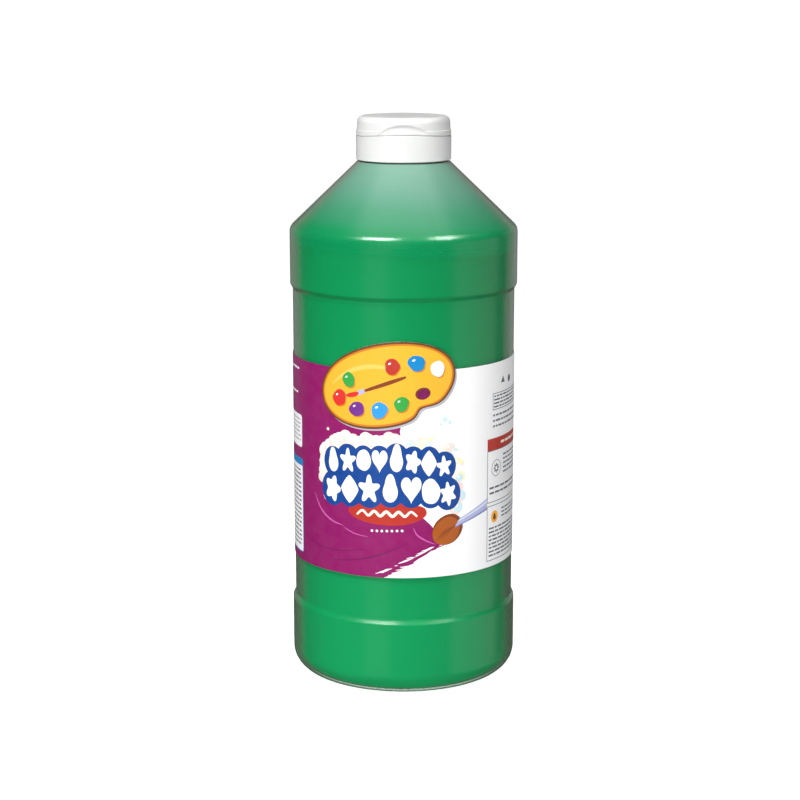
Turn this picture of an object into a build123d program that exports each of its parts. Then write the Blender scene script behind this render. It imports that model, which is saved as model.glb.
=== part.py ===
"""A 946 ml squeeze bottle of tempera paint with a snap-top screw cap.

Millimetres, +Z up. The origin is the centre of the standing ring, on the surface the bottle
stands on. The thumb scoop of the lid and the middle of the label face -Y, the hinge is at +Y.
"""

from build123d import *
import math
import os

# Driving dimensions of the bottle
BAND_R = 43.5  # radius of the lower and upper bands
PANEL_INSET = 1.0  # the label panel is this much smaller in radius
WALL = 1.0
PUSH_UP = 3.5  # height of the raised middle of the base
PUSH_UP_R = 27.0
RING_R = 33.0  # inner edge of the standing ring
HEEL_R = 8.0
LOWER_BAND_TOP = 28.3
UPPER_BAND_BOTTOM = 152.2
STEP_HEIGHT = 1.7  # height of the slope between a band and the label panel
SHOULDER_Z = 173.7
SHOULDER_ROUND = 4.0
LEDGE_Z = 198.6  # top of the shoulder, under the cap
LEDGE_R = 17.6
FILL_Z = 172.0  # paint level

# Driving dimensions of the 33 mm screw neck
NECK_R = 14.85
BORE_R = 12.6
MOUTH_Z = 206.9
PITCH = 4.233
RIDGE_TURNS = 1.1
RIDGE_START_Z = 200.4
RIDGE_HEIGHT = 1.1
RIDGE_ROOT = 2.6
RIDGE_CREST = 1.0
EMBED = 0.2  # depth by which a thread's root sinks into its wall

# Driving dimensions of the label
LABEL_BOTTOM = 46.8
LABEL_TOP = 125.4
LABEL_THICK = 0.3
LABEL_ARC = 354.0
BADGE_X = -6.0
BADGE_Z = 119.9
BADGE_A = 25.4
BADGE_B = 15.9
BADGE_TILT = 11.5

# Driving dimensions of the closure
CAP_R = 18.05
CAP_BOTTOM = 199.2
PARTING_Z = 209.2
SKIRT_INNER_R = 16.4
CAP_THREAD_DROP = 1.65  # axial distance from the neck's ridge down to the cap's
CAP_THREAD_FROM = 0.46  # first and last turn of the cap's ridge, on the neck's helix
CAP_THREAD_TO = 1.5
FOIL_THICK = 0.12
LINER_THICK = 0.9
SEAT_GAP = 0.02
DECK_THICK = 1.6
DECK_R = 15.4
SNAP_RING_THICK = 1.0
SNAP_RING_HEIGHT = 1.1
ORIFICE_R = 2.6
RIM_R = 4.0
RIM_HEIGHT = 1.9
SNAP_BEAD = 0.22

LID_R = 17.7
LID_TOP = 215.8
LID_GAP = 0.22  # open joint between cap and lid
ARCH_DROP = 1.1  # the parting line is this much lower at the sides than in front
ARCH_CREST = 0.05  # height lost at the arch's crest
LAP_R = 17.2  # inside of the lid's edge where it laps down over the cap
LID_INNER_R = 16.0
LID_ROOF = 1.3
LID_LIP = 0.28
LID_LIP_HEIGHT = 0.9
PLUG_R = 2.35
PLUG_DEPTH = 1.0
SCOOP_DEPTH = 1.15
SCOOP_HEIGHT = 3.7
SCOOP_WIDTH = 19.0
SCOOP_SHIFT = 8.0  # the scoop's floor is flatter than the lid by this shift of its axis

HINGE_Y = 18.62
HINGE_WIDTH = 8.0
LUG_HEIGHT = 1.7
WEB_THICK = 0.35
WEB_WIDTH = 7.0

panel_r = BAND_R - PANEL_INSET
liner_bottom = MOUTH_Z + FOIL_THICK + SEAT_GAP
liner_top = liner_bottom + LINER_THICK
deck_bottom = liner_top + SEAT_GAP
deck_top = deck_bottom + DECK_THICK
snap_ring_top = deck_top + SNAP_RING_HEIGHT
rim_top = deck_top + RIM_HEIGHT
lid_bottom = PARTING_Z + LID_GAP
lid_ceiling = LID_TOP - LID_ROOF

shoulder_run = BAND_R - LEDGE_R
shoulder_rise = LEDGE_Z - SHOULDER_Z
shoulder_turn = math.atan2(shoulder_run, shoulder_rise)
ring_turn = math.atan2(PUSH_UP, RING_R - PUSH_UP_R)


def body_corners(inset):
    """Half-section corners from the middle of the base to the shoulder corner, each with
    its fillet radius, for the outer skin moved inwards by inset."""
    ring_shift = inset * math.tan(ring_turn / 2)
    shoulder_shift = inset * math.tan(shoulder_turn / 2)
    return [
        ((0, PUSH_UP + inset), 0),
        ((PUSH_UP_R + ring_shift, PUSH_UP + inset), 3.0),
        ((RING_R + ring_shift, inset), 1.5),
        ((BAND_R - inset, inset), HEEL_R - inset),
        ((BAND_R - inset, LOWER_BAND_TOP), 1.2),
        ((panel_r - inset, LOWER_BAND_TOP + STEP_HEIGHT), 1.2),
        ((panel_r - inset, UPPER_BAND_BOTTOM - STEP_HEIGHT), 1.2),
        ((BAND_R - inset, UPPER_BAND_BOTTOM), 1.2),
        ((BAND_R - inset, SHOULDER_Z - shoulder_shift), SHOULDER_ROUND - inset),
    ]


def turned(corners):
    """Solid of revolution about Z of a half-section given as corners with fillet radii.
    The first and last corners lie on the axis."""
    points = [point for point, radius in corners]
    radii = [radius for point, radius in corners[1:-1]]
    with BuildPart() as solid:
        with BuildSketch(Plane.XZ):
            with BuildLine():
                outline = FilletPolyline(*points, radius=radii)
                Line(outline @ 1, outline @ 0)
            make_face()
        revolve(axis=Axis.Z)
    return solid.part


def thread_ridge(radius, start_z, start_turn, turns, reach, root, crest):
    """Helical ridge on a wall of the given radius. Reach is how far the crest stands off the
    wall, outwards if positive. The root sinks into the wall."""
    sink = -math.copysign(EMBED, reach)
    path_plane = Plane.XY.offset(start_z).rotated((0, 0, 360 * start_turn))
    with BuildPart() as ridge:
        with BuildLine(path_plane) as path:
            Helix(pitch=PITCH, height=PITCH * turns, radius=radius)
        section_plane = Plane(origin=path.line @ 0, x_dir=path_plane.x_dir, z_dir=path.line % 0)
        with BuildSketch(section_plane) as section:
            with BuildLine():
                Polyline(
                    (sink, -root / 2),
                    (reach, -crest / 2),
                    (reach, crest / 2),
                    (sink, root / 2),
                    close=True,
                )
            make_face()
        sweep(sections=section.sketch, path=path.line, is_frenet=True)
    return ridge.part


def arched_ring(outer_r, inner_r, low, high, arch_top):
    """Ring about Z whose lower side is an arch, highest along the Y axis."""
    arch_r = (CAP_R**2 + ARCH_DROP**2) / (2 * ARCH_DROP)
    with BuildPart() as ring:
        with BuildSketch(Plane.XY.offset(low)):
            Circle(outer_r)
            Circle(inner_r, mode=Mode.SUBTRACT)
        extrude(amount=high - low)
        with BuildSketch(Plane.XZ):
            with Locations((0, arch_top - arch_r)):
                Circle(arch_r)
        extrude(amount=2 * CAP_R, both=True, mode=Mode.SUBTRACT)
    return ring.part


# Bottle: blow-moulded skin, hollow right up to the mouth, with the thread on its neck
inner_cone_r = 18.6
inner_cone_z = SHOULDER_Z + (BAND_R - WALL - inner_cone_r) * shoulder_rise / shoulder_run - 1.0
bottle_outside = turned(
    body_corners(0)
    + [
        ((LEDGE_R, LEDGE_Z), 0.6),
        ((NECK_R, LEDGE_Z), 0.4),
        ((NECK_R, MOUTH_Z), 0.3),
        ((0, MOUTH_Z), 0),
    ]
)
bottle_inside = turned(
    body_corners(WALL)
    + [
        ((inner_cone_r, inner_cone_z), 2.0),
        ((BORE_R, LEDGE_Z - 1.6), 1.5),
        ((BORE_R, MOUTH_Z + 1), 0),
        ((0, MOUTH_Z + 1), 0),
    ]
)
neck_ridge = thread_ridge(
    NECK_R, RIDGE_START_Z, 0, RIDGE_TURNS, RIDGE_HEIGHT, RIDGE_ROOT, RIDGE_CREST
)
with BuildPart() as bottle:
    add(bottle_outside)
    add(neck_ridge)
    add(bottle_inside, mode=Mode.SUBTRACT)
bottle.part.label = "bottle"

# Paint: fills the skin up to its level, with a hair's clearance to the wall
PAINT_GAP = 0.05
paint_corners = body_corners(WALL + PAINT_GAP)[:-1]
with BuildPart() as paint_fill:
    add(
        turned(
            paint_corners
            + [((BAND_R - WALL - PAINT_GAP, FILL_Z), 0), ((0, FILL_Z), 0)]
        )
    )
paint_fill.part.label = "paint_fill"

# Label: a film round the panel, open at its back seam, with the badge above its top edge
badge_top = BADGE_Z + BADGE_A
with BuildPart() as label_ring:
    with BuildSketch(Plane.XZ):
        with Locations((panel_r + LABEL_THICK / 2, (LABEL_BOTTOM + badge_top) / 2)):
            Rectangle(LABEL_THICK, badge_top - LABEL_BOTTOM)
    revolve(axis=Axis.Z, revolution_arc=LABEL_ARC)
film = label_ring.part.rotate(Axis.Z, 90 + (360 - LABEL_ARC) / 2)
with BuildPart() as film_outline:
    with BuildSketch(Plane.XZ):
        with Locations((BADGE_X, BADGE_Z)):
            Ellipse(BADGE_A, BADGE_B, rotation=BADGE_TILT)
    extrude(amount=2 * BAND_R)
    with Locations((0, 0, LABEL_BOTTOM)):
        Cylinder(
            2 * BAND_R,
            LABEL_TOP - LABEL_BOTTOM,
            align=(Align.CENTER, Align.CENTER, Align.MIN),
        )
with BuildPart() as wrap_label:
    add(film)
    add(film_outline.part, mode=Mode.INTERSECT)
wrap_label.part.label = "wrap_label"

# Foil seal across the mouth, and the foam ring that the cap presses on it
with BuildPart() as foil_seal:
    with BuildSketch(Plane.XY.offset(MOUTH_Z)):
        Circle(NECK_R - 0.35)
    extrude(amount=FOIL_THICK)
foil_seal.part.label = "foil_seal"

with BuildPart() as foam_liner:
    with BuildSketch(Plane.XY.offset(liner_bottom)):
        Circle(SKIRT_INNER_R - 0.3)
        Circle(ORIFICE_R + 1.4, mode=Mode.SUBTRACT)
    extrude(amount=LINER_THICK)
    fillet(foam_liner.edges().filter_by(GeomType.CIRCLE), radius=0.15)
foam_liner.part.label = "foam_liner"

# Cap: skirt, deck, ring with a bead that the lid snaps on, orifice and rim, thread, hinge lug
skirt_outside = turned(
    [
        ((0, CAP_BOTTOM), 0),
        ((CAP_R, CAP_BOTTOM), 0.35),
        ((CAP_R, PARTING_Z), 0.3),
        ((DECK_R, PARTING_Z), 0.2),
        ((DECK_R, snap_ring_top), 0.3),
        ((DECK_R - SNAP_RING_THICK, snap_ring_top), 0.3),
        ((DECK_R - SNAP_RING_THICK, deck_top), 0.4),
        ((RIM_R, deck_top), 0.5),
        ((RIM_R - 0.3, rim_top), 0.35),
        ((0, rim_top), 0),
    ]
)
skirt_inside = turned(
    [
        ((0, CAP_BOTTOM - 1), 0),
        ((SKIRT_INNER_R + 0.3, CAP_BOTTOM - 1), 0),
        ((SKIRT_INNER_R, CAP_BOTTOM + 0.8), 0),
        ((SKIRT_INNER_R, deck_bottom), 0.4),
        ((0, deck_bottom), 0),
    ]
)
cap_ridge = thread_ridge(
    SKIRT_INNER_R,
    RIDGE_START_Z - CAP_THREAD_DROP + PITCH * CAP_THREAD_FROM,
    CAP_THREAD_FROM,
    CAP_THREAD_TO - CAP_THREAD_FROM,
    -RIDGE_HEIGHT,
    RIDGE_ROOT - 0.2,
    RIDGE_CREST,
)
cap_rebate = arched_ring(
    CAP_R + 1, LAP_R - LID_GAP, PARTING_Z - 2, PARTING_Z + 1, PARTING_Z - ARCH_CREST
)
lug_depth = HINGE_Y - CAP_R + 1.2
with BuildPart() as cap_body:
    add(skirt_outside)
    add(skirt_inside, mode=Mode.SUBTRACT)
    add(cap_ridge)
    add(cap_rebate, mode=Mode.SUBTRACT)
    with Locations((0, 0, deck_bottom)):
        Hole(radius=ORIFICE_R, depth=20)
    with BuildSketch(Plane.XZ):
        with Locations((DECK_R, snap_ring_top - 0.55)):
            Circle(SNAP_BEAD)
    revolve(axis=Axis.Z)
    with Locations((0, HINGE_Y - 0.1, PARTING_Z - 0.05)):
        Box(
            HINGE_WIDTH,
            lug_depth,
            LUG_HEIGHT,
            align=(Align.CENTER, Align.MAX, Align.MAX),
        )
cap_body.part.label = "cap_body"

# Lid: shallow cup with a rounded brow, a lip at its lower edge, thumb scoop and sealing plug
lid_outside = turned(
    [
        ((0, lid_bottom), 0),
        ((LID_R + LID_LIP, lid_bottom), 0.15),
        ((LID_R + LID_LIP, lid_bottom + LID_LIP_HEIGHT), 0.12),
        ((LID_R, lid_bottom + LID_LIP_HEIGHT + 0.3), 0.3),
        ((LID_R - 0.15, LID_TOP - 0.35), 2.3),
        ((LID_R - 5.0, LID_TOP), 6.0),
        ((0, LID_TOP), 0),
    ]
)
lid_inside = turned(
    [
        ((0, lid_bottom - 1), 0),
        ((LID_INNER_R, lid_bottom - 1), 0),
        ((LID_INNER_R, lid_ceiling), 1.6),
        ((0, lid_ceiling), 0),
    ]
)
lid_lap = arched_ring(
    LID_R + LID_LIP, LAP_R, PARTING_Z - 2, lid_bottom + 0.3, lid_bottom - ARCH_CREST
)
scoop_r = LID_R + LID_LIP - SCOOP_DEPTH + SCOOP_SHIFT
scoop_arch_r = (SCOOP_WIDTH**2 / 4 + SCOOP_HEIGHT**2) / (2 * SCOOP_HEIGHT)
with BuildPart() as scoop:
    with BuildSketch(Plane.XZ):
        with Locations((0, lid_bottom + SCOOP_HEIGHT - scoop_arch_r)):
            Circle(scoop_arch_r)
    extrude(amount=2 * LID_R)
    with Locations((0, SCOOP_SHIFT, lid_bottom - 20)):
        Cylinder(
            scoop_r,
            40,
            align=(Align.CENTER, Align.CENTER, Align.MIN),
            mode=Mode.SUBTRACT,
        )
with BuildPart() as flip_lid:
    add(lid_outside)
    add(lid_inside, mode=Mode.SUBTRACT)
    add(lid_lap)
    add(scoop.part, mode=Mode.SUBTRACT)
    with BuildSketch(Plane.XY.offset(rim_top - PLUG_DEPTH)):
        Circle(PLUG_R)
        Circle(PLUG_R - 0.8, mode=Mode.SUBTRACT)
    extrude(amount=lid_ceiling - rim_top + PLUG_DEPTH + 0.2)
    with BuildSketch(Plane.XY.offset(rim_top + 0.5)):
        Circle(RIM_R + 1.5)
        Circle(RIM_R + 0.7, mode=Mode.SUBTRACT)
    extrude(amount=lid_ceiling - rim_top - 0.3)
    with Locations((0, HINGE_Y - 0.1, lid_bottom)):
        Box(
            HINGE_WIDTH,
            lug_depth,
            LUG_HEIGHT,
            align=(Align.CENTER, Align.MAX, Align.MIN),
        )
flip_lid.part.label = "flip_lid"

# Living hinge: a thin web across the parting plane, outside both lugs
with BuildPart() as living_hinge:
    with Locations((0, HINGE_Y - 0.08, PARTING_Z + LID_GAP / 2)):
        Box(
            WEB_WIDTH,
            WEB_THICK,
            2 * LUG_HEIGHT - 0.6,
            align=(Align.CENTER, Align.MIN, Align.CENTER),
        )
    fillet(living_hinge.edges().filter_by(Axis.X), radius=0.12)
living_hinge.part.label = "living_hinge"

pieces = [
    bottle,
    paint_fill,
    wrap_label,
    foil_seal,
    foam_liner,
    cap_body,
    flip_lid,
    living_hinge,
]
os.makedirs("parts", exist_ok=True)
for piece in pieces:
    export_step(piece.part, f"parts/{piece.part.label}.step")
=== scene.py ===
"""The looks of the paint bottle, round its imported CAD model. Metres, in the CAD's frame."""

import math
import random

import bmesh
import bpy
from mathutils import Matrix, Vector
from mathutils.geometry import delaunay_2d_cdt


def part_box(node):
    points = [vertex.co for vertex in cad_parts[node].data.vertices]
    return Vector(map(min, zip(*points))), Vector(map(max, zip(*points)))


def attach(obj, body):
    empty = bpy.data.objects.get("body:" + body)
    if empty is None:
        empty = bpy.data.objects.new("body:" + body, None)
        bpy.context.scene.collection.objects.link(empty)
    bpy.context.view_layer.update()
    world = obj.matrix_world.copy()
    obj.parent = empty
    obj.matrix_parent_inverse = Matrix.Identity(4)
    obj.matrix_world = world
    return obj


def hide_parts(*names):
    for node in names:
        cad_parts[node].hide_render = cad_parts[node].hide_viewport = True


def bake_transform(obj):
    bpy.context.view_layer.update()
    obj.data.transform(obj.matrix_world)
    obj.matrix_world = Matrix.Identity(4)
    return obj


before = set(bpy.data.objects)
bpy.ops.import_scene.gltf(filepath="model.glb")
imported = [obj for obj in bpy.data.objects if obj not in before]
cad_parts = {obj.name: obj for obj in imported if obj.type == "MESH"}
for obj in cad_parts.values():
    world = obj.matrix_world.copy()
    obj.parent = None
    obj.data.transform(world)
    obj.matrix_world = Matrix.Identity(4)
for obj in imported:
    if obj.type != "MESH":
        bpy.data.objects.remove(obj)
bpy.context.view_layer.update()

MM = 0.001
label_low, label_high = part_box("wrap_label")
FILL_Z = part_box("paint_fill")[1].z  # level of the paint
NECK_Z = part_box("cap_body")[0].z  # lower edge of the cap, where the shoulder ends


# Node helpers -----------------------------------------------------------------------------


class Nodes:
    """A material's node tree, with short calls for the nodes that the materials share."""

    def __init__(self, name):
        self.material = bpy.data.materials.new(name)
        self.material.use_nodes = True
        self.tree = self.material.node_tree
        self.tree.nodes.clear()
        self.output = self.tree.nodes.new("ShaderNodeOutputMaterial")

    def add(self, kind, values=None, **settings):
        node = self.tree.nodes.new("ShaderNode" + kind)
        for key, value in settings.items():
            setattr(node, key, value)
        for key, value in (values or {}).items():
            if isinstance(value, bpy.types.NodeSocket):
                self.tree.links.new(value, node.inputs[key])
            else:
                node.inputs[key].default_value = value
        return node

    def position(self):
        """The point in the object's own space, which moves with the object."""
        return self.add("TexCoord").outputs["Object"]

    def axis(self, name):
        return self.add("SeparateXYZ", {0: self.position()}).outputs[name]

    def noise(self, scale, detail=3.0, roughness=0.5, stretch=(1, 1, 1)):
        spot = self.add("Mapping", {"Vector": self.position(), "Scale": stretch}).outputs[0]
        values = {"Vector": spot, "Scale": scale, "Detail": detail, "Roughness": roughness}
        return self.add("TexNoise", values).outputs[0]

    def ramp(self, fac, stops):
        """A colour ramp with (position, colour) stops."""
        node = self.add("ValToRGB", {"Fac": fac})
        elements = node.color_ramp.elements
        while len(elements) < len(stops):
            elements.new(0.5)
        for element, (place, colour) in zip(elements, stops):
            element.position = place
            element.color = (*colour, 1)
        return node.outputs[0]

    def span(self, value, low, high, to_low=0.0, to_high=1.0):
        """The value's place between low and high, as a number from to_low to to_high."""
        ends = {"From Min": low, "From Max": high, "To Min": to_low, "To Max": to_high}
        return self.add("MapRange", {"Value": value, **ends}).outputs[0]

    def math(self, operation, a, b=0.0):
        return self.add("Math", {0: a, 1: b}, operation=operation).outputs[0]

    def scaled(self, colour, by):
        return self.add("VectorMath", {0: colour, "Scale": by}, operation="SCALE").outputs[0]

    def mix(self, fac, a, b):
        node = self.add("Mix", data_type="RGBA")
        for socket, value in (("Factor", fac), ("A", a), ("B", b)):
            places = [s for s in node.inputs if s.name == socket and s.enabled]
            if isinstance(value, bpy.types.NodeSocket):
                self.tree.links.new(value, places[0])
            elif socket == "Factor":
                places[0].default_value = value
            else:
                places[0].default_value = (*value, 1)
        return [s for s in node.outputs if s.enabled][0]

    def bump(self, height, strength, distance):
        values = {"Height": height, "Strength": strength, "Distance": distance}
        return self.add("Bump", values).outputs[0]

    def finish(self, shader):
        self.tree.links.new(shader, self.output.inputs["Surface"])
        return self.material


def srgb(r, g, b):
    """Linear colour from 0 to 255 display values."""

    def channel(c):
        c /= 255
        return c / 12.92 if c <= 0.04045 else ((c + 0.055) / 1.055) ** 2.4

    return channel(r), channel(g), channel(b)


# Materials --------------------------------------------------------------------------------


def paint_material():
    """Thick green tempera, pressed against the inside of the wall, its colour with painted
    light
    and shade: lighter towards the bottom and darker towards the top."""
    n = Nodes("tempera_green")
    drift = n.noise(28, 3)
    colour = n.mix(drift, (0.0015, 0.300, 0.092), (0.0025, 0.335, 0.108))
    # Painted light and shade: the colour is made lighter low down and darker high up.
    depth = n.span(n.axis("Z"), 20 * MM, 165 * MM, 1.08, 0.88)
    shader = n.add(
        "BsdfPrincipled",
        {
            "Base Color": n.scaled(colour, depth),
            "Roughness": n.span(drift, 0, 1, 0.42, 0.55),
            "Specular IOR Level": 0.1,
        },
    )
    return n.finish(shader.outputs[0])


SEAM_TURN = math.radians(-15.7)  # how far the mould's seam is turned from the bottle's front


def mould_seam(n):
    """1 on the two lines where the halves of the bottle's mould meet, 0 away from them."""
    side = n.add("Mapping", {"Vector": n.position(), "Rotation": (0, 0, SEAM_TURN)})
    across = n.add("SeparateXYZ", {0: side.outputs[0]}).outputs["X"]
    return n.span(n.math("ABSOLUTE", across), 0.15 * MM, 0.35 * MM, 1.0, 0.0)


LEAN = 0.035  # slope of the paint's level, down to the right
RIPPLE = 1.8 * MM  # unevenness of the edge of the dried film


def bottle_material():
    """Natural HDPE: clear over the paint, milky green in the headspace, where a film of paint
    dries on the inside, and milky white on the neck. Seen edge-on, the wall is hazy."""
    n = Nodes("natural_hdpe")
    lean = n.math("MULTIPLY", n.axis("X"), LEAN)
    ripple = n.math("MULTIPLY", n.math("SUBTRACT", n.noise(26, 1), 0.5), RIPPLE)
    level = n.math("ADD", n.axis("Z"), n.math("ADD", ripple, lean))
    # The two lowest stops are darkened by a tenth: painted shade, like the paint's near the
    # top.
    tint = n.ramp(
        n.span(level, FILL_Z - 1.5 * MM, NECK_Z + 2 * MM),
        [
            (0.0, (0.0016, 0.222, 0.073)),
            (0.15, (0.0050, 0.228, 0.078)),
            (0.25, (0.028, 0.238, 0.110)),
            (0.40, (0.053, 0.252, 0.138)),
            (0.60, (0.106, 0.286, 0.196)),
            (0.92, (0.172, 0.334, 0.256)),
            (1.0, (0.58, 0.63, 0.58)),
        ],
    )
    opacity = n.span(level, FILL_Z - 5.5 * MM, FILL_Z - 0.6 * MM, 0.015, 0.97)
    # The eye looks through the wall's two faces. Painted light: where they are half clear, each
    # is made lighter, to make up for the light that the half-clear faces hold back from the
    # paint behind.
    tint = n.scaled(tint, n.math("SUBTRACT", 2.0, opacity))
    grazing = n.add("LayerWeight", {"Blend": 0.5}).outputs["Facing"]
    edge_on = n.span(n.math("POWER", grazing, 3.0), 0.20, 0.50, 0.0, 0.94)
    grain = n.noise(900, 4, 0.6)
    flow = n.noise(60, 3, 0.5, (1, 1, 0.15))
    relief = n.math("ADD", grain, n.math("MULTIPLY", flow, 6.0))
    relief = n.math("ADD", relief, n.math("MULTIPLY", mould_seam(n), 4.0))
    normal = n.bump(relief, 0.12, 0.00012)
    matt = {"Roughness": 0.6, "Specular IOR Level": 0.0, "Normal": normal}
    clear = n.add("BsdfTransparent", {"Color": (0.96, 0.98, 0.97, 1)})
    body = n.add("BsdfPrincipled", {"Base Color": tint, **matt})
    wall = n.add("MixShader", {0: opacity, 1: clear.outputs[0], 2: body.outputs[0]})
    haze_tint = n.mix(n.span(level, FILL_Z, NECK_Z), (0.085, 0.185, 0.095), (0.27, 0.29, 0.24))
    haze = n.add("BsdfPrincipled", {"Base Color": haze_tint, **matt})
    wall = n.add("MixShader", {0: edge_on, 1: wall.outputs[0], 2: haze.outputs[0]})
    # Above a roughness of 0.27 the denoiser reads the gloss as matt, which draws outlines.
    rough = n.span(n.noise(40, 4), 0.2, 0.8, 0.21, 0.265)
    gloss = n.add("BsdfGlossy", {"Color": (1, 1, 1, 1), "Roughness": rough, "Normal": normal})
    mirror = n.add("Fresnel", {"IOR": 1.5, "Normal": normal}).outputs[0]
    outside = n.math("SUBTRACT", 1.0, n.add("NewGeometry").outputs["Backfacing"])
    mirror = n.math("MULTIPLY", mirror, outside)
    both = n.add("MixShader", {0: mirror, 1: wall.outputs[0], 2: gloss.outputs[0]})
    return n.finish(both.outputs[0])


def cap_material():
    """White injection-moulded polypropylene with a fine spark-eroded grain."""
    n = Nodes("white_polypropylene")
    cloud = n.noise(120, 3)
    grain = n.noise(1800, 2, 0.6)
    colour = n.mix(cloud, (0.67, 0.673, 0.665), (0.71, 0.712, 0.705))
    shader = n.add(
        "BsdfPrincipled",
        {
            "Base Color": colour,
            "Roughness": n.span(cloud, 0.2, 0.8, 0.30, 0.42),
            "Subsurface Weight": 0.15,
            "Subsurface Radius": (0.002, 0.002, 0.002),
            "Normal": n.bump(grain, 0.15, 0.00005),
        },
    )
    return n.finish(shader.outputs[0])


def foam_material():
    """Closed-cell foam of the liner."""
    n = Nodes("liner_foam")
    cells = n.add("TexVoronoi", {"Vector": n.position(), "Scale": 2600})
    colour = n.mix(cells.outputs["Distance"], (0.78, 0.78, 0.75), (0.86, 0.86, 0.84))
    shader = n.add(
        "BsdfPrincipled",
        {
            "Base Color": colour,
            "Roughness": 0.85,
            "Normal": n.bump(cells.outputs["Distance"], 0.4, 0.00008),
        },
    )
    return n.finish(shader.outputs[0])


def foil_material():
    """Aluminium foil of the seal, slightly crumpled where it is welded to the mouth."""
    n = Nodes("seal_foil")
    crumple = n.noise(260, 5, 0.65)
    shader = n.add(
        "BsdfPrincipled",
        {
            "Base Color": n.mix(crumple, (0.72, 0.72, 0.73), (0.84, 0.84, 0.85)),
            "Metallic": 1.0,
            "Roughness": n.span(crumple, 0.3, 0.7, 0.42, 0.55),
            "Normal": n.bump(crumple, 0.35, 0.0004),
        },
    )
    return n.finish(shader.outputs[0])


# Label artwork ----------------------------------------------------------------------------
# The label is drawn flat, in millimetres: u runs round the bottle from the middle of the
# front, positive to the right, and v up from the label's lower edge.

LABEL_R = label_high.x / MM
LABEL_BOTTOM = label_low.z / MM
LABEL_HEIGHT = 78.6  # without the badge
LABEL_HALF = LABEL_R * math.radians(177)  # half of its length
MARGIN = 1.0  # unprinted film at the label's left end
BLEED = 0.5  # how far the purple is drawn past the film's edges
FILM = 0.22  # thickness of the film
FACET = 2.4  # width of the facets that the film bends by

BADGE = {"u": -7.1, "v": 73.1, "a": 27.3, "b": 15.7, "tilt": 12.9}

INK = {
    "white": srgb(250, 250, 251),
    "purple": srgb(141, 12, 97),
    "purple_dark": srgb(118, 12, 84),
    "purple_light": srgb(196, 92, 166),
    "amber": srgb(255, 178, 46),
    "amber_light": srgb(255, 196, 92),
    "amber_dark": srgb(206, 120, 24),
    "bark": srgb(104, 62, 30),
    "blue": srgb(6, 66, 144),
    "blue_light": srgb(0, 132, 196),
    "sky": srgb(44, 152, 222),
    "foam": srgb(250, 240, 222),
    "foam_pink": srgb(246, 218, 210),
    "foam_blue": srgb(200, 228, 234),
    "foam_yellow": srgb(246, 240, 200),
    "red": srgb(216, 44, 40),
    "brick": srgb(184, 48, 34),
    "green": srgb(52, 160, 66),
    "violet": srgb(112, 46, 140),
    "brown": srgb(172, 88, 28),
    "brown_dark": srgb(128, 60, 22),
    "steel": srgb(172, 180, 218),
    "steel_light": srgb(216, 220, 240),
    "steel_dark": srgb(124, 130, 186),
    "grey": srgb(92, 92, 102),
    "grey_light": srgb(176, 176, 184),
}


def turn(u, v, degrees):
    """The step (u, v), turned anticlockwise."""
    a = math.radians(degrees)
    return u * math.cos(a) - v * math.sin(a), u * math.sin(a) + v * math.cos(a)


def polar(u, v, radius, steps=40, tilt=0.0, flat=1.0):
    """A closed outline about (u, v) whose radius is a number or a function of the angle."""
    outline = []
    for i in range(steps):
        a = 2 * math.pi * i / steps
        r = radius(a) if callable(radius) else radius
        du, dv = turn(r * math.cos(a), r * flat * math.sin(a), tilt)
        outline.append((u + du, v + dv))
    return outline


def rounded(left, low, right, top, r=0.0):
    """A rectangle with rounded corners."""
    if r <= 0:
        return [(left, low), (right, low), (right, top), (left, top)]
    outline = []
    corners = [(right - r, low + r, -90), (right - r, top - r, 0)]
    corners += [(left + r, top - r, 90), (left + r, low + r, 180)]
    for cu, cv, start in corners:
        for i in range(5):
            a = math.radians(start + 22.5 * i)
            outline.append((cu + r * math.cos(a), cv + r * math.sin(a)))
    return outline


def smooth_line(points, steps):
    """A Catmull-Rom spline through the given points."""
    line = []
    ends = [points[0]] + points + [points[-1]]
    for i in range(len(points) - 1):
        p0, p1, p2, p3 = ends[i : i + 4]
        for k in range(steps):
            t = k / steps
            line.append(
                tuple(
                    0.5
                    * (
                        2 * b
                        + (c - a) * t
                        + (2 * a - 5 * b + 4 * c - d) * t * t
                        + (3 * b - 3 * c + d - a) * t**3
                    )
                    for a, b, c, d in zip(p0, p1, p2, p3)
                )
            )
    line.append(points[-1])
    return line


def stroke(points, width, ends=0.05, steps=8):
    """A brushed line through the points: widest in the middle, thin at its ends."""
    line = smooth_line(points, steps)
    left, right = [], []
    for i, (u, v) in enumerate(line):
        before, after = line[max(i - 1, 0)], line[min(i + 1, len(line) - 1)]
        du, dv = after[0] - before[0], after[1] - before[1]
        length = math.hypot(du, dv) or 1.0
        swell = ends + (1 - ends) * math.sin(math.pi * i / (len(line) - 1)) ** 0.7
        half = 0.5 * width * swell
        left.append((u - dv / length * half, v + du / length * half))
        right.append((u + dv / length * half, v - du / length * half))
    return left + right[::-1]


def anticlockwise(outline):
    """The outline in anticlockwise order."""
    area = sum(a[0] * b[1] - b[0] * a[1] for a, b in zip(outline, outline[1:] + outline[:1]))
    return outline if area > 0 else outline[::-1]


def wobble(seed, size, share):
    """A radius that wanders smoothly round a mean size."""
    chance = random.Random(seed)
    phases = [(k, chance.uniform(0, 6.28), share / k) for k in (2, 3, 5)]

    def radius(a):
        return size * (1 + sum(w * math.sin(k * a + p) for k, p, w in phases))

    return radius


def drop(u, v, size, tilt=0.0):
    def radius(a):
        return size * (0.78 + 0.62 * max(0.0, math.cos(a - math.pi / 2)) ** 7)

    return polar(u, v - 0.12 * size, radius, 44, tilt)


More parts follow.
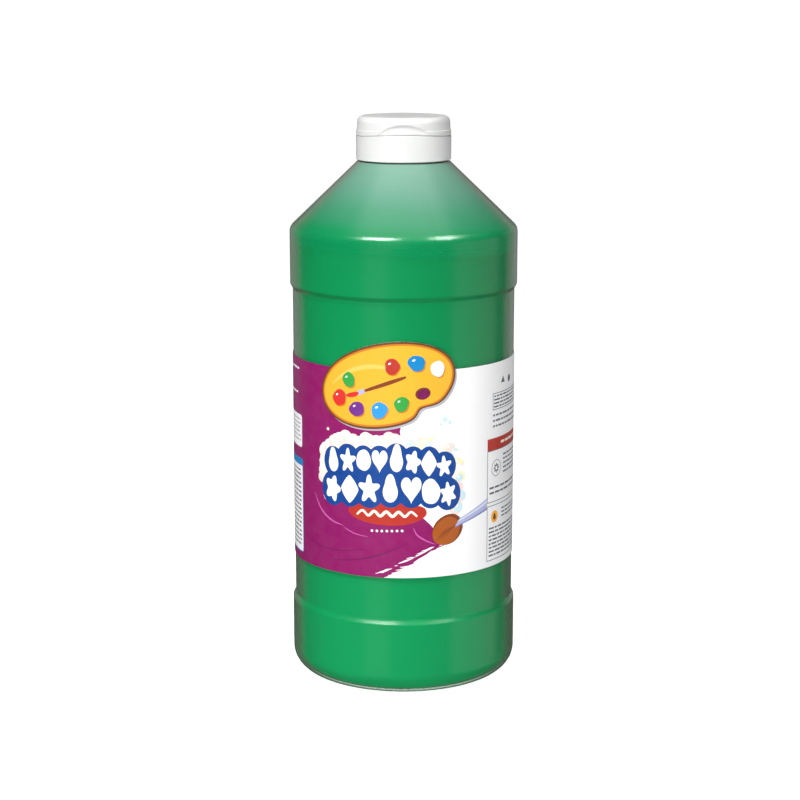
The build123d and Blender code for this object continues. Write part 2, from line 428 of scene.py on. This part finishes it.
def star(u, v, size, points=5, inner=0.52, tilt=0.0):
    def radius(a):
        wave = math.cos(points * (a - math.pi / 2))
        return size * (inner + (1 - inner) * (0.5 + 0.5 * wave) ** 1.3)

    return polar(u, v, radius, 60, tilt)


def flower(u, v, size, petals=6):
    return polar(u, v, lambda a: size * (0.82 + 0.18 * math.cos(petals * a)), 60)


def heart(u, v, size):
    outline = []
    for i in range(44):
        a = 2 * math.pi * i / 44
        x = 16 * math.sin(a) ** 3
        y = 13 * math.cos(a) - 5 * math.cos(2 * a) - 2 * math.cos(3 * a) - math.cos(4 * a)
        outline.append((u + size * x / 16, v + size * (y + 2) / 15))
    return outline


def blob(u, v, size, seed):
    return polar(u, v, wobble(seed, size, 0.08))


def diamond(u, v, size):
    def radius(a):
        return size / (abs(math.cos(a)) ** 1.25 + abs(math.sin(a)) ** 1.25) ** 0.8

    return polar(u, v, radius, 44)


class Artwork:
    """The label's inked shapes, later ones on top."""

    def __init__(self):
        self.shapes = []

    def ink(self, name, outline):
        self.shapes.append((INK[name], anticlockwise(outline)))

    def bars(self, name, left, right, top, rows, seed, height=0.55, gap=1.25):
        """Rows of small print, drawn as plain bars with gaps."""
        chance = random.Random(seed)
        for row in range(rows):
            v = top - row * gap
            u = left
            while u < right - 1.0:
                end = min(u + chance.uniform(1.2, 4.2), right)
                self.ink(name, rounded(u, v - height, end, v))
                u = end + 0.55

    def frame(self, name, left, low, right, top, line=0.28):
        """A white box with an inked outline."""
        self.ink(name, rounded(left, low, right, top))
        self.ink("white", rounded(left + line, low + line, right - line, top - line))


def draw_fields(art):
    """The purple paint that sweeps across the front, with its dry-brushed edge."""
    top = LABEL_HEIGHT + BLEED
    edge = [(-8.4, -BLEED), (-3.6, 2.3), (-1.0, 3.6), (2.6, 5.2), (5.6, 7.4), (8.6, 9.0)]
    edge += [(12.4, 11.4), (14.2, 13.4), (12.8, 17.0), (9.8, 20.6), (6.2, 24.0), (3.0, 34.0)]
    edge += [(0.4, 46.0), (-1.4, 56.0), (-0.6, 60.0), (2.0, top)]
    left = -LABEL_HALF + MARGIN
    art.ink("purple", [(left, top), (left, -BLEED)] + edge)
    chance = random.Random(7)
    for _ in range(34):
        t = chance.random()
        base_u, base_v = -8 + 22 * t, 0.4 + 12.2 * t
        length = chance.uniform(1.6, 6.0)
        du, dv = turn(length, 0, chance.uniform(10, 30))
        thick = chance.uniform(0.25, 0.75)
        middle = (base_u + du / 2, base_v + dv / 2 + chance.uniform(-0.2, 0.2))
        line = [(base_u - 1.5, base_v - 0.5), middle, (base_u + du, base_v + dv)]
        art.ink("purple", stroke(line, thick, 0.1, 4))
    for _ in range(20):
        t = chance.random()
        base_u, base_v = -10 + 22 * t, 0.9 + 11.0 * t
        length = chance.uniform(1.2, 4.0)
        du, dv = turn(length, 0, chance.uniform(8, 28))
        middle = (base_u - du / 2, base_v - dv / 2 + 0.1)
        line = [(base_u - du, base_v - dv), middle, (base_u, base_v)]
        art.ink("white", stroke(line, chance.uniform(0.2, 0.5), 0.1, 4))
    for i in range(3):
        v = 2.6 + 1.15 * i
        u = -4.6 + 1.6 * i
        line = [(u, v - 0.7), (u + 3, v - 0.4), (u + 6.4, v + 0.3)]
        art.ink("white", stroke(line, 0.45, 0.3, 4))
    curls = [
        ("purple_light", [(-38.8, 29.4), (-34.8, 23.4), (-29.6, 20.0), (-23.6, 18.6)], 0.75),
        ("purple_light", [(-24.0, 18.2), (-19.0, 16.2), (-13.4, 15.4)], 0.4),
        ("purple_light", [(3.6, 19.4), (5.0, 16.6), (8.4, 14.2), (12.2, 12.6)], 0.6),
        ("purple_dark", [(-30.6, 4.2), (-17.0, 6.4), (-7.0, 9.6), (1.6, 13.6)], 0.7),
        ("purple_dark", [(-46.0, 12.0), (-38.0, 9.0), (-26.0, 8.6), (-14.0, 10.6)], 0.5),
        ("purple_light", [(-84.0, 60.0), (-96.0, 52.0), (-112.0, 50.0), (-126.0, 56.0)], 0.8),
        ("purple_dark", [(-82.0, 12.0), (-98.0, 8.0), (-116.0, 9.0), (-128.0, 14.0)], 0.8),
    ]
    for name, points, width in curls:
        art.ink(name, stroke(points, width))


def draw_foam(art):
    """Soap bubbles round the banner: cream on the purple, pastel on the white."""
    rim = [(-30.6, 30.0), (-32.8, 36.6), (-32.6, 43.6), (-29.8, 49.0), (-24.4, 51.6)]
    rim += [(-16.6, 52.6), (-8.0, 53.0), (0.0, 52.4), (8.0, 51.2), (13.6, 50.0), (18.2, 46.8)]
    rim += [(19.8, 40.0), (19.6, 33.0), (18.6, 26.0)]
    line = smooth_line(rim, 4)
    art.ink("foam", line + [(12.0, 30.0), (-10.0, 32.0), (-26.0, 31.0)])
    cream = ("foam", "foam_pink", "foam", "white")
    pastel = ("foam_blue", "foam_pink", "foam_yellow", "white")
    chance = random.Random(11)
    for _ in range(2):
        for u, v in line:
            size = chance.uniform(1.1, 2.7)
            push = chance.uniform(-0.6, 1.2)
            u += push * (1 if u > -6 else -1) * 0.8 + chance.uniform(-0.7, 0.7)
            u += 1.6 if u > 14 else 0.0
            v += chance.uniform(-0.8, 0.8)
            art.ink(chance.choice(pastel if u > 2 else cream), polar(u, v, size, 22))
            art.ink("white", polar(u - 0.3 * size, v + 0.34 * size, 0.34 * size, 12))
    loose = [(-30.8, 54.8, 0.6), (15.6, 60.0, 1.0), (17.6, 58.8, 0.7), (14.0, 58.2, 0.6)]
    for u, v, size in loose:
        art.ink("foam_blue" if u > 0 else "foam", polar(u, v, size, 16))


def tall(shape, v, stretch):
    """The shape stretched upwards about v."""
    return [(pu, v + (pv - v) * stretch) for pu, pv in shape]


def draw_banner(art):
    """Two rows of white shapes on a thick blue backing."""
    upper = [
        (drop, -28.2, 42.8, 2.9, 1.5, {"tilt": 6}),
        (star, -21.7, 43.9, 3.5, 1.4, {}),
        (blob, -15.2, 44.6, 2.8, 1.5, {"seed": 3}),
        (heart, -9.0, 44.6, 3.0, 1.5, {}),
        (drop, -2.7, 45.2, 3.1, 1.6, {"tilt": -4}),
        (flower, 3.4, 44.5, 3.0, 1.5, {"petals": 5}),
        (diamond, 9.4, 43.8, 3.0, 1.65, {}),
        (star, 15.3, 42.3, 3.1, 1.35, {"tilt": 6}),
    ]
    lower = [
        (flower, -28.6, 32.4, 3.7, 1.4, {"petals": 5}),
        (diamond, -21.0, 33.1, 3.7, 1.45, {}),
        (star, -13.1, 33.7, 4.4, 1.3, {}),
        (drop, -5.0, 33.6, 3.6, 1.4, {}),
        (heart, 2.8, 33.8, 3.8, 1.4, {}),
        (blob, 10.2, 33.0, 3.5, 1.4, {"seed": 9}),
        (star, 17.0, 31.6, 3.4, 1.4, {"points": 6, "inner": 0.6, "tilt": 8}),
    ]
    for shape, u, v, size, stretch, more in upper + lower:
        wide = size + 1.75
        art.ink("blue", polar(u, v, wide, 44, 0, (size * stretch + 1.5) / wide))
    rows = [
        ([(-29.0, 42.2), (-20, 43.8), (-6, 44.8), (6, 44.2), (16.0, 42.0)], 9.2),
        ([(-31.0, 37.4), (-18, 38.8), (-4, 39.4), (8, 38.8), (18.4, 36.4)], 5.0),
        ([(-30.0, 32.0), (-18, 33.2), (-4, 33.6), (8, 33.2), (18.0, 31.4)], 9.6),
    ]
    for line, width in rows:
        art.ink("blue", stroke(line, width, 0.5))
    for shape, u, v, size, stretch, more in upper + lower:
        art.ink("white", tall(shape(u, v, size, **more), v, stretch))


def draw_dab(art):
    """A brick-red dab with a plain squiggle, and a row of dots under it."""
    body = [(-21.6, 24.6), (-19.0, 22.4), (-13.0, 20.8), (-6.0, 20.2), (1.0, 20.6), (6.4, 22.4)]
    body += [(8.6, 24.6), (7.2, 27.2), (1.0, 28.6), (-6.2, 29.2), (-14.0, 28.4), (-20.4, 26.8)]
    art.ink("brick", smooth_line(body + body[:1], 5)[:-1])
    squiggle = [(-18.0 + 2.3 * i, 24.6 + (1.0 if i % 2 else -1.0) * 0.9) for i in range(11)]
    art.ink("foam", stroke(squiggle, 1.15, 0.6, 5))
    for i in range(7):
        art.ink("white", polar(-12.0 + 1.9 * i, 17.9 + 0.06 * i, 0.5, 12))


def draw_brush(art):
    """The brush that spreads the purple: brown bristles and a tapered steel ferrule."""
    art.ink("brown_dark", polar(16.9, 17.9, wobble(5, 6.7, 0.03), 48, 38, 0.82))
    art.ink("brown", polar(16.4, 17.4, wobble(6, 6.0, 0.04), 48, 38, 0.80))
    for i in range(5):
        u = 11.8 + 1.1 * i
        hair = [(u, 13.4 + 0.5 * i), (u + 2.2, 16.0 + 0.5 * i), (u + 4.8, 18.6 + 0.3 * i)]
        art.ink("brown_dark", stroke(hair, 0.28, 0.1, 5))
    art.ink("steel_dark", [(19.8, 18.4), (35.4, 22.8), (35.4, 27.2), (21.8, 21.6)])
    art.ink("steel", [(19.9, 18.8), (35.4, 23.6), (35.4, 27.2), (21.8, 21.6)])
    art.ink("steel_light", [(21.0, 20.4), (35.4, 25.4), (35.4, 26.5), (21.5, 21.1)])


def draw_badge(art):
    """An artist's palette in amber, with dabs of paint."""
    u, v, a, b, tilt = (BADGE[key] for key in ("u", "v", "a", "b", "tilt"))

    def palette(inset):
        def radius(angle):
            notch = math.atan2(math.sin(angle + 1.05), math.cos(angle + 1.05))
            dip = 0.16 * math.exp(-((notch / 0.17) ** 2))
            return (a - inset) * (1 - dip)

        return polar(u, v, radius, 110, tilt, (b - inset) / (a - inset))

    art.ink("grey_light", [(pu + 0.9, pv - 0.9) for pu, pv in palette(0.3)])
    art.ink("bark", palette(0))
    art.ink("amber_dark", palette(0.75))
    art.ink("amber", palette(1.5))
    arc = [turn(-21 + 4 * i, 8.2 - 0.16 * (i - 3.5) ** 2 * 2.2, tilt) for i in range(8)]
    art.ink("amber_light", stroke([(u + du, v + dv) for du, dv in arc], 1.8, 0.1))
    hu, hv = turn(13.2, -6.0, tilt)
    art.ink("bark", polar(u + hu, v + hv, 2.9, 30, tilt, 0.78))
    art.ink("purple_dark", polar(u + hu + 0.2, v + hv - 0.2, 2.4, 30, tilt, 0.76))
    dabs = [
        ("red", -19.0, -1.4, 3.0),
        ("violet", -12.6, -6.6, 2.9),
        ("sky", -4.0, -8.6, 3.1),
        ("green", 4.6, -8.0, 2.8),
        ("white", 20.6, 1.6, 2.8),
        ("blue_light", 13.4, 5.6, 3.1),
        ("brick", 4.4, 6.4, 2.9),
        ("green", -13.4, 4.6, 2.7),
    ]
    for i, (name, du, dv, size) in enumerate(dabs):
        du, dv = turn(du, dv, tilt)
        edge = wobble(20 + i, size, 0.12)
        art.ink("amber_dark", polar(u + du + 0.35, v + dv - 0.45, edge, 36))
        art.ink(name, polar(u + du, v + dv, edge, 36))
        shine_u, shine_v = u + du - 0.34 * size, v + dv + 0.36 * size
        art.ink("white", polar(shine_u, shine_v, 0.2 * size, 12, 30, 0.6))
    handle = [(u - 8.6, v - 2.6), (u + 1.0, v + 0.9), (u + 8.0, v + 3.4)]
    art.ink("brown_dark", stroke(handle, 1.5, 0.4))
    art.ink("steel", stroke([(u - 10.4, v - 3.3), (u - 7.6, v - 2.2)], 1.7, 0.8))
    bristles = [(u - 15.2, v - 4.6), (u - 12.2, v - 4.0), (u - 10.0, v - 3.1)]
    art.ink("red", stroke(bristles, 1.9, 0.15))


def draw_right_panel(art):
    """Boxed small print to the right of the front, all of it plain bars."""
    left, right = 35.4, 84.0
    art.ink("grey", polar(45.6, 71.2, 1.7, 3, 90))
    art.ink("grey", polar(51.6, 71.0, 1.4, 24))
    art.frame("grey", 38.4, 60.6, right, 67.0)
    art.bars("grey", 39.2, right - 1, 66.1, 4, 31, 0.6, 1.35)
    art.bars("grey", 38.6, right - 1, 58.9, 3, 32, 0.7, 2.1)
    art.frame("grey", left, 25.0, right, 45.2)
    art.ink("brick", rounded(left, 45.2, right, 49.8))
    art.bars("foam", left + 9, right - 2, 48.0, 1, 33, 1.0, 1.6)
    art.ink("grey_light", polar(41.2, 38.0, 3.3, 36))
    art.ink("white", polar(41.2, 38.0, 2.9, 36))
    art.ink("grey", star(41.2, 38.0, 2.0, 8, 0.6))
    art.ink("white", polar(41.2, 38.0, 0.8, 16))
    art.bars("grey", 46.4, right - 1, 42.6, 5, 34, 0.6, 1.7)
    art.bars("grey", left + 1.4, right - 1, 31.0, 2, 35, 0.75, 2.0)
    art.frame("grey", left, 2.2, right, 23.8)
    art.ink("amber", polar(40.2, 19.2, 2.3, 26))
    art.ink("bark", drop(40.2, 19.0, 1.2))
    art.bars("grey", 45.4, right - 1, 21.6, 3, 36, 0.55, 1.5)
    art.bars("grey", left + 1.2, right - 1, 15.2, 8, 37, 0.65, 1.52)


def draw_left_panel(art):
    """White boxes with small print on the purple, to the left of the front."""
    art.bars("white", -72.0, -50.6, 75.2, 1, 41, 0.8, 1.6)
    art.bars("white", -72.0, -52.2, 65.8, 1, 42, 0.8, 1.6)
    art.ink("white", rounded(-78.0, 44.4, -48.2, 57.0, 1.2))
    art.bars("grey_light", -76.0, -49.6, 55.4, 6, 43, 0.6, 1.6)
    art.ink("blue_light", rounded(-78.0, 3.0, -47.6, 40.0, 1.2))
    art.ink("white", rounded(-77.6, 3.4, -48.0, 37.2, 0.6))
    art.bars("grey", -76.2, -49.4, 35.6, 18, 44, 0.65, 1.72)


def draw_back(art):
    """Behind: two rows of swatches on the purple, and small print and a box on the white."""
    swatches = ["red", "amber", "green", "sky", "violet", "white", "brown", "blue"]
    for i, name in enumerate(swatches):
        u, v = -90.0 - 10.0 * (i % 4), 34.0 - 11.0 * (i // 4)
        art.ink("white", polar(u, v, 4.4, 30))
        art.ink(name, drop(u, v, 3.1))
    art.frame("grey", 92.0, 8.0, 126.0, 30.0)
    art.bars("grey", 93.4, 124.6, 28.2, 11, 51, 0.65, 1.72)
    art.bars("grey", 92.0, 126.0, 70.0, 8, 52, 0.8, 2.2)
    art.ink("purple", rounded(92.0, 36.0, 126.0, 46.0, 1.4))
    art.bars("white", 95.0, 123.0, 43.4, 2, 53, 1.3, 3.4)


def label_outline():
    """The film's own outline: a band, with the badge standing above its top edge."""
    u, v, a, b, tilt = (BADGE[key] for key in ("u", "v", "a", "b", "tilt"))
    rim = polar(u, v, a, 150, tilt, b / a)
    crest = []
    for (u0, v0), (u1, v1) in zip(rim, rim[1:] + rim[:1]):
        if v0 > LABEL_HEIGHT:
            crest.append((u0, v0))
        if (v0 > LABEL_HEIGHT) != (v1 > LABEL_HEIGHT):
            crest.append((u0 + (u1 - u0) * (LABEL_HEIGHT - v0) / (v1 - v0), LABEL_HEIGHT))
    crest.sort(key=lambda p: -p[0])
    ends = [(LABEL_HALF, 0), (LABEL_HALF, LABEL_HEIGHT)]
    return [(-LABEL_HALF, 0)] + ends + crest + [(-LABEL_HALF, LABEL_HEIGHT)]


def top_edge(outline, u):
    """Height of the outline's top edge at u."""
    tops = sorted(p for p in outline if p[1] >= LABEL_HEIGHT)
    for (u0, v0), (u1, v1) in zip(tops, tops[1:]):
        if u0 <= u <= u1:
            return v0 + (v1 - v0) * (u - u0) / max(u1 - u0, 1e-9)
    return LABEL_HEIGHT


def draw_label(outline):
    """The whole artwork: white film first, the badge on top."""
    art = Artwork()
    art.ink("white", outline)
    draw_fields(art)
    draw_foam(art)
    draw_dab(art)
    draw_banner(art)
    draw_brush(art)
    draw_right_panel(art)
    draw_left_panel(art)
    draw_back(art)
    draw_badge(art)
    return art


def label_cells():
    """Cuts the flat film along every shape's outline and every facet. Gives the points, and
    the cells with the ink of the shape that lies on top."""
    outline = label_outline()
    art = draw_label(outline)
    points, edges, faces = [], [], []
    for _, shape in art.shapes:
        faces.append(list(range(len(points), len(points) + len(shape))))
        points += shape
    facets = int(2 * LABEL_HALF / FACET)
    for i in range(1, facets):
        u = -LABEL_HALF + 2 * LABEL_HALF * i / facets
        edges.append((len(points), len(points) + 1))
        points += [(u, 0.0), (u, top_edge(outline, u))]
    film = 0  # place of the film's own outline among the shapes
    only_inside = 1  # the cutter's mode that drops what lies outside every shape
    tolerance = 1e-4
    places = [Vector(point) for point in points]
    cut = delaunay_2d_cdt(places, edges, faces, only_inside, tolerance)
    flat, cells, sources = cut[0], cut[2], cut[5]
    kept = []
    for cell, shapes in zip(cells, sources):
        if film in shapes:
            kept.append((cell, art.shapes[max(shapes)][0]))
    return flat, kept


def build_label():
    """Wraps the flat film round the panel and gives it its thickness."""
    flat, kept = label_cells()
    count = len(flat)
    places, normals = [], []
    for r in (LABEL_R, LABEL_R - FILM):
        for u, v in flat:
            a = u / LABEL_R
            x, y, z = r * math.sin(a), -r * math.cos(a), LABEL_BOTTOM + v
            places.append((x * MM, y * MM, z * MM))
            normals.append(Vector((math.sin(a), -math.cos(a), 0)))
    mesh_faces, inks, facing, sides = [], [], [], {}
    for cell, colour in kept:
        mesh_faces.append(tuple(cell))
        facing.append(1)
        inks.append(colour)
        for a, b in zip(cell, cell[1:] + cell[:1]):
            sides[(a, b)] = colour
    for cell, _ in kept:
        mesh_faces.append(tuple(i + count for i in reversed(cell)))
        facing.append(-1)
        inks.append(INK["white"])
    for (a, b), colour in sides.items():
        if (b, a) not in sides:  # on the film's own edge
            mesh_faces.append((b, a, a + count, b + count))
            facing.append(0)
            inks.append(colour)
    mesh = bpy.data.meshes.new("label")
    mesh.from_pydata(places, [], mesh_faces)
    mesh.shade_smooth()
    ink = mesh.color_attributes.new("ink", "FLOAT_COLOR", "CORNER")
    colours, loops = [], []
    for polygon, colour, side in zip(mesh.polygons, inks, facing):
        for corner in polygon.vertices:
            colours += [*colour, 1.0]
            loops.append(side * normals[corner] if side else polygon.normal.copy())
    ink.data.foreach_set("color", colours)
    mesh.normals_split_custom_set(loops)
    label = bpy.data.objects.new("label_film", mesh)
    bpy.context.scene.collection.objects.link(label)
    mesh.materials.append(label_material())
    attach(label, "bottle")
    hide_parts("wrap_label")


def label_material():
    """Printed film: ink as laid down by the press, under a satin varnish."""
    n = Nodes("printed_film")
    ink = n.add("Attribute", attribute_name="ink").outputs["Color"]
    mottle = n.noise(240, 4, 0.6)
    colour = n.mix(n.span(mottle, 0.3, 0.7, 0.0, 0.022), ink, (0.6, 0.6, 0.6))
    varnish = n.noise(70, 3)
    shader = n.add(
        "BsdfPrincipled",
        {
            "Base Color": colour,
            "Roughness": n.span(varnish, 0.2, 0.8, 0.34, 0.44),
            "Specular IOR Level": 0.35,
            "Normal": n.bump(n.noise(500, 3), 0.05, 0.00006),
        },
    )
    return n.finish(shader.outputs[0])


def build_hinge(material):
    """The web of the living hinge, thinned along the line that it bends on."""
    low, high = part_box("living_hinge")
    rows, columns = 36, 12
    groove_depth, groove_width = 0.5, 0.09
    mesh = bmesh.new()
    sheets = ([], [])
    for i in range(rows + 1):
        t = i / rows
        z = low.z + (high.z - low.z) * t
        thin = 1 - groove_depth * math.exp(-(((t - 0.5) / groove_width) ** 2))
        for k in range(columns + 1):
            s = k / columns
            x = low.x + (high.x - low.x) * s
            edge = min(s, 1 - s, t, 1 - t) * columns
            round_off = 0.55 + 0.45 * math.sqrt(min(edge, 1.0))
            depth = (high.y - low.y) * thin * round_off
            sheets[0].append(mesh.verts.new((x, low.y, z)))
            sheets[1].append(mesh.verts.new((x, low.y + depth, z)))

    def spot(i, k):
        return i * (columns + 1) + k

    for i in range(rows):
        for k in range(columns):
            ring = [spot(i, k), spot(i, k + 1), spot(i + 1, k + 1), spot(i + 1, k)]
            mesh.faces.new([sheets[0][c] for c in ring])
            mesh.faces.new([sheets[1][c] for c in ring[::-1]])
    border = [spot(0, k) for k in range(columns + 1)]
    border += [spot(i, columns) for i in range(1, rows + 1)]
    border += [spot(rows, k) for k in range(columns - 1, -1, -1)]
    border += [spot(i, 0) for i in range(rows - 1, 0, -1)]
    for a, b in zip(border, border[1:] + border[:1]):
        mesh.faces.new([sheets[0][b], sheets[0][a], sheets[1][a], sheets[1][b]])
    bmesh.ops.recalc_face_normals(mesh, faces=mesh.faces)
    data = bpy.data.meshes.new("hinge_web")
    mesh.to_mesh(data)
    mesh.free()
    data.shade_smooth()
    data.set_sharp_from_angle(angle=math.radians(50))
    data.materials.append(material)
    web = bpy.data.objects.new("hinge_web", data)
    bpy.context.scene.collection.objects.link(web)
    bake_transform(web)
    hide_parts("living_hinge")


def dress(node, material):
    """Makes this the CAD node's only material."""
    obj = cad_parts[node]
    obj.data.materials.clear()
    obj.data.materials.append(material)


dress("paint_fill", paint_material())
dress("bottle", bottle_material())
white = cap_material()
dress("cap_body", white)
dress("flip_lid", white)
dress("living_hinge", white)
build_hinge(white)
build_label()
dress("foam_liner", foam_material())
dress("foil_seal", foil_material())


# Stage, lights and camera -----------------------------------------------------------------


def studio():
    """A pale floor that curves up into a wall all round. It is there to be looked at: the
    bottle is lit, and mirrors, only the lights."""
    bend = 0.6
    reach = 2.2
    height = 2.4
    spokes = 48
    steps = 12
    section = [(0.4, 0.0), (0.9, 0.0)]
    for i in range(steps + 1):
        a = math.pi / 2 * i / steps
        section.append((reach - bend + bend * math.sin(a), bend - bend * math.cos(a)))
    section.append((reach, height))
    mesh = bmesh.new()
    rings = []
    for r, z in section:
        ring = []
        for i in range(spokes):
            a = 2 * math.pi * i / spokes
            ring.append(mesh.verts.new((r * math.cos(a), r * math.sin(a), z)))
        rings.append(ring)
    mesh.faces.new(rings[0])
    for low, high in zip(rings, rings[1:]):
        for i in range(spokes):
            k = (i + 1) % spokes
            mesh.faces.new((low[k], low[i], high[i], high[k]))
    data = bpy.data.meshes.new("cove")
    mesh.to_mesh(data)
    mesh.free()
    data.shade_smooth()
    cove = bpy.data.objects.new("cove", data)
    bpy.context.scene.collection.objects.link(cove)
    n = Nodes("cove_paper")
    tone = n.mix(n.noise(3, 2), (0.88, 0.88, 0.88), (0.90, 0.90, 0.90))
    shader = n.add("BsdfPrincipled", {"Base Color": tone, "Roughness": 0.9})
    shader.inputs["Emission Color"].default_value = (1, 1, 1, 1)
    shader.inputs["Emission Strength"].default_value = 0.9
    data.materials.append(n.finish(shader.outputs[0]))
    cove.visible_diffuse = False
    cove.visible_glossy = False
    cove.visible_shadow = False
    cove.visible_transmission = False


MIDDLE = Vector((0, 0, 0.11))  # what the lights are aimed at


def area_light(name, place, facing, size, power, lights, mirrored):
    """A rectangular lamp that the camera doesn't see."""
    data = bpy.data.lights.new(name, "AREA")
    data.shape = "RECTANGLE"
    data.size, data.size_y = size
    data.energy = power
    light = bpy.data.objects.new(name, data)
    light.location = place
    light.rotation_euler = (-facing).to_track_quat("Z", "Y").to_euler()
    light.visible_camera = False
    light.visible_diffuse = lights
    light.visible_glossy = mirrored
    bpy.context.scene.collection.objects.link(light)


def softbox(name, azimuth, elevation, distance, size, power, lights=True, mirrored=True):
    """An area light aimed at the bottle's middle. Azimuth 0 is the camera's side. A box that
    doesn't light only shows in the gloss; one that isn't mirrored only lights."""
    a, e = math.radians(azimuth), math.radians(elevation)
    away = Vector((math.sin(a) * math.cos(e), -math.cos(a) * math.cos(e), math.sin(e)))
    area_light(name, MIDDLE + distance * away, -away, size, power, lights, mirrored)


def floor_glow(name, size, power, mirrored=True):
    """Light that the floor throws back up."""
    place, up = Vector((0, 0, -MM)), Vector((0, 0, 1))
    area_light(name, place, up, (size, size), power, True, mirrored)


def photographer():
    """The camera, a little higher than the cap, looking down at the bottle."""
    downwards = 0.2045
    data = bpy.data.cameras.new("camera")
    data.lens = 90.15
    data.sensor_width = 36.0
    camera = bpy.data.objects.new("camera", data)
    camera.location = (-0.00138, -0.7619, 0.2639)
    camera.rotation_euler = (math.pi / 2 - downwards, 0, 0)
    bpy.context.scene.collection.objects.link(camera)
    bpy.context.scene.camera = camera


studio()
softbox("key", -33, 50, 0.9, (0.46, 0.17), 5.8, mirrored=False)
softbox("key_glint", -29, 48, 0.9, (0.40, 0.30), 13.0, lights=False)
softbox("fill", 58, 50, 0.9, (0.34, 0.14), 1.9, mirrored=False)
softbox("fill_glint", 47, 47, 0.9, (0.26, 0.28), 6.2, lights=False)
softbox("top", 0, 84, 1.0, (0.95, 0.8), 3.0)
softbox("front", -14, 6, 1.0, (0.5, 0.5), 6.5, mirrored=False)
softbox("card_right", 78, -10, 0.65, (0.7, 0.5), 0.6)
softbox("card_left", -27, -12, 0.7, (0.3, 0.5), 0.16)
softbox("rim_left", -140, 4, 0.8, (0.5, 0.5), 0.2)
softbox("rim_right", 140, 4, 0.8, (0.5, 0.5), 0.3)
floor_glow("bounce", 1.2, 2.3, mirrored=False)
floor_glow("contact", 0.3, 0.5)
world = bpy.data.worlds.new("world")
world.use_nodes = True
background = world.node_tree.nodes["Background"]
background.inputs["Color"].default_value = (1, 1, 1, 1)
background.inputs["Strength"].default_value = 0.05
bpy.context.scene.world = world
bpy.context.scene.view_settings.view_transform = "Standard"
photographer()
